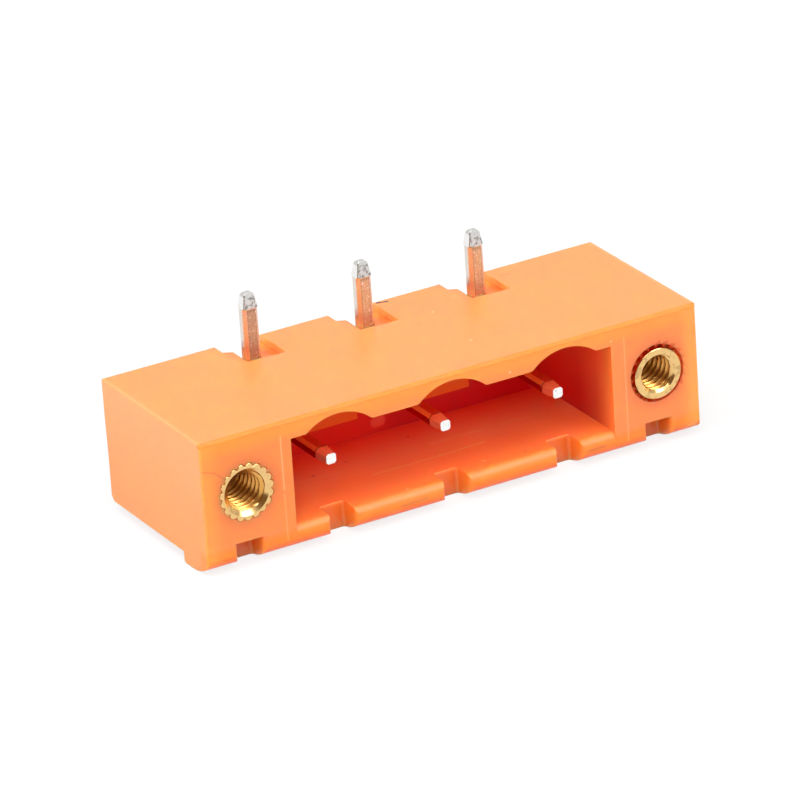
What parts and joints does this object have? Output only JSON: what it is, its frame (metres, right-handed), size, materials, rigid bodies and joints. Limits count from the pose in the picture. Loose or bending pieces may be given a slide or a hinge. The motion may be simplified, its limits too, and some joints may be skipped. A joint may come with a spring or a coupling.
{
  "type": "pluggable terminal block header",
  "caption": "Right-angle header of a pluggable terminal block: moulded housing with an open socket, bent contact pins and threaded inserts for the plug's screws",
  "frame": {"origin": "on the ground under the middle of the bounding box; the foot rail's lowest line is at Z = 0 and the middle pole's contact lies on X = 0", "axes": "+X runs along the row of poles, the socket opens towards -Y, and +Z points out of the board face, along the solder legs"},
  "size_m": [0.0332, 0.0121, 0.0121],
  "materials": {
    "housing": "satin moulded thermoplastic, slightly translucent",
    "contact": "tin-plated wire",
    "insert": "turned and knurled brass"
  },
  "bodies": {
    "root": {"housing": "housing", "pin_left": "contact", "pin_middle": "contact", "pin_right": "contact", "insert_left": "insert", "insert_right": "insert"}
  },
  "joints": []
}
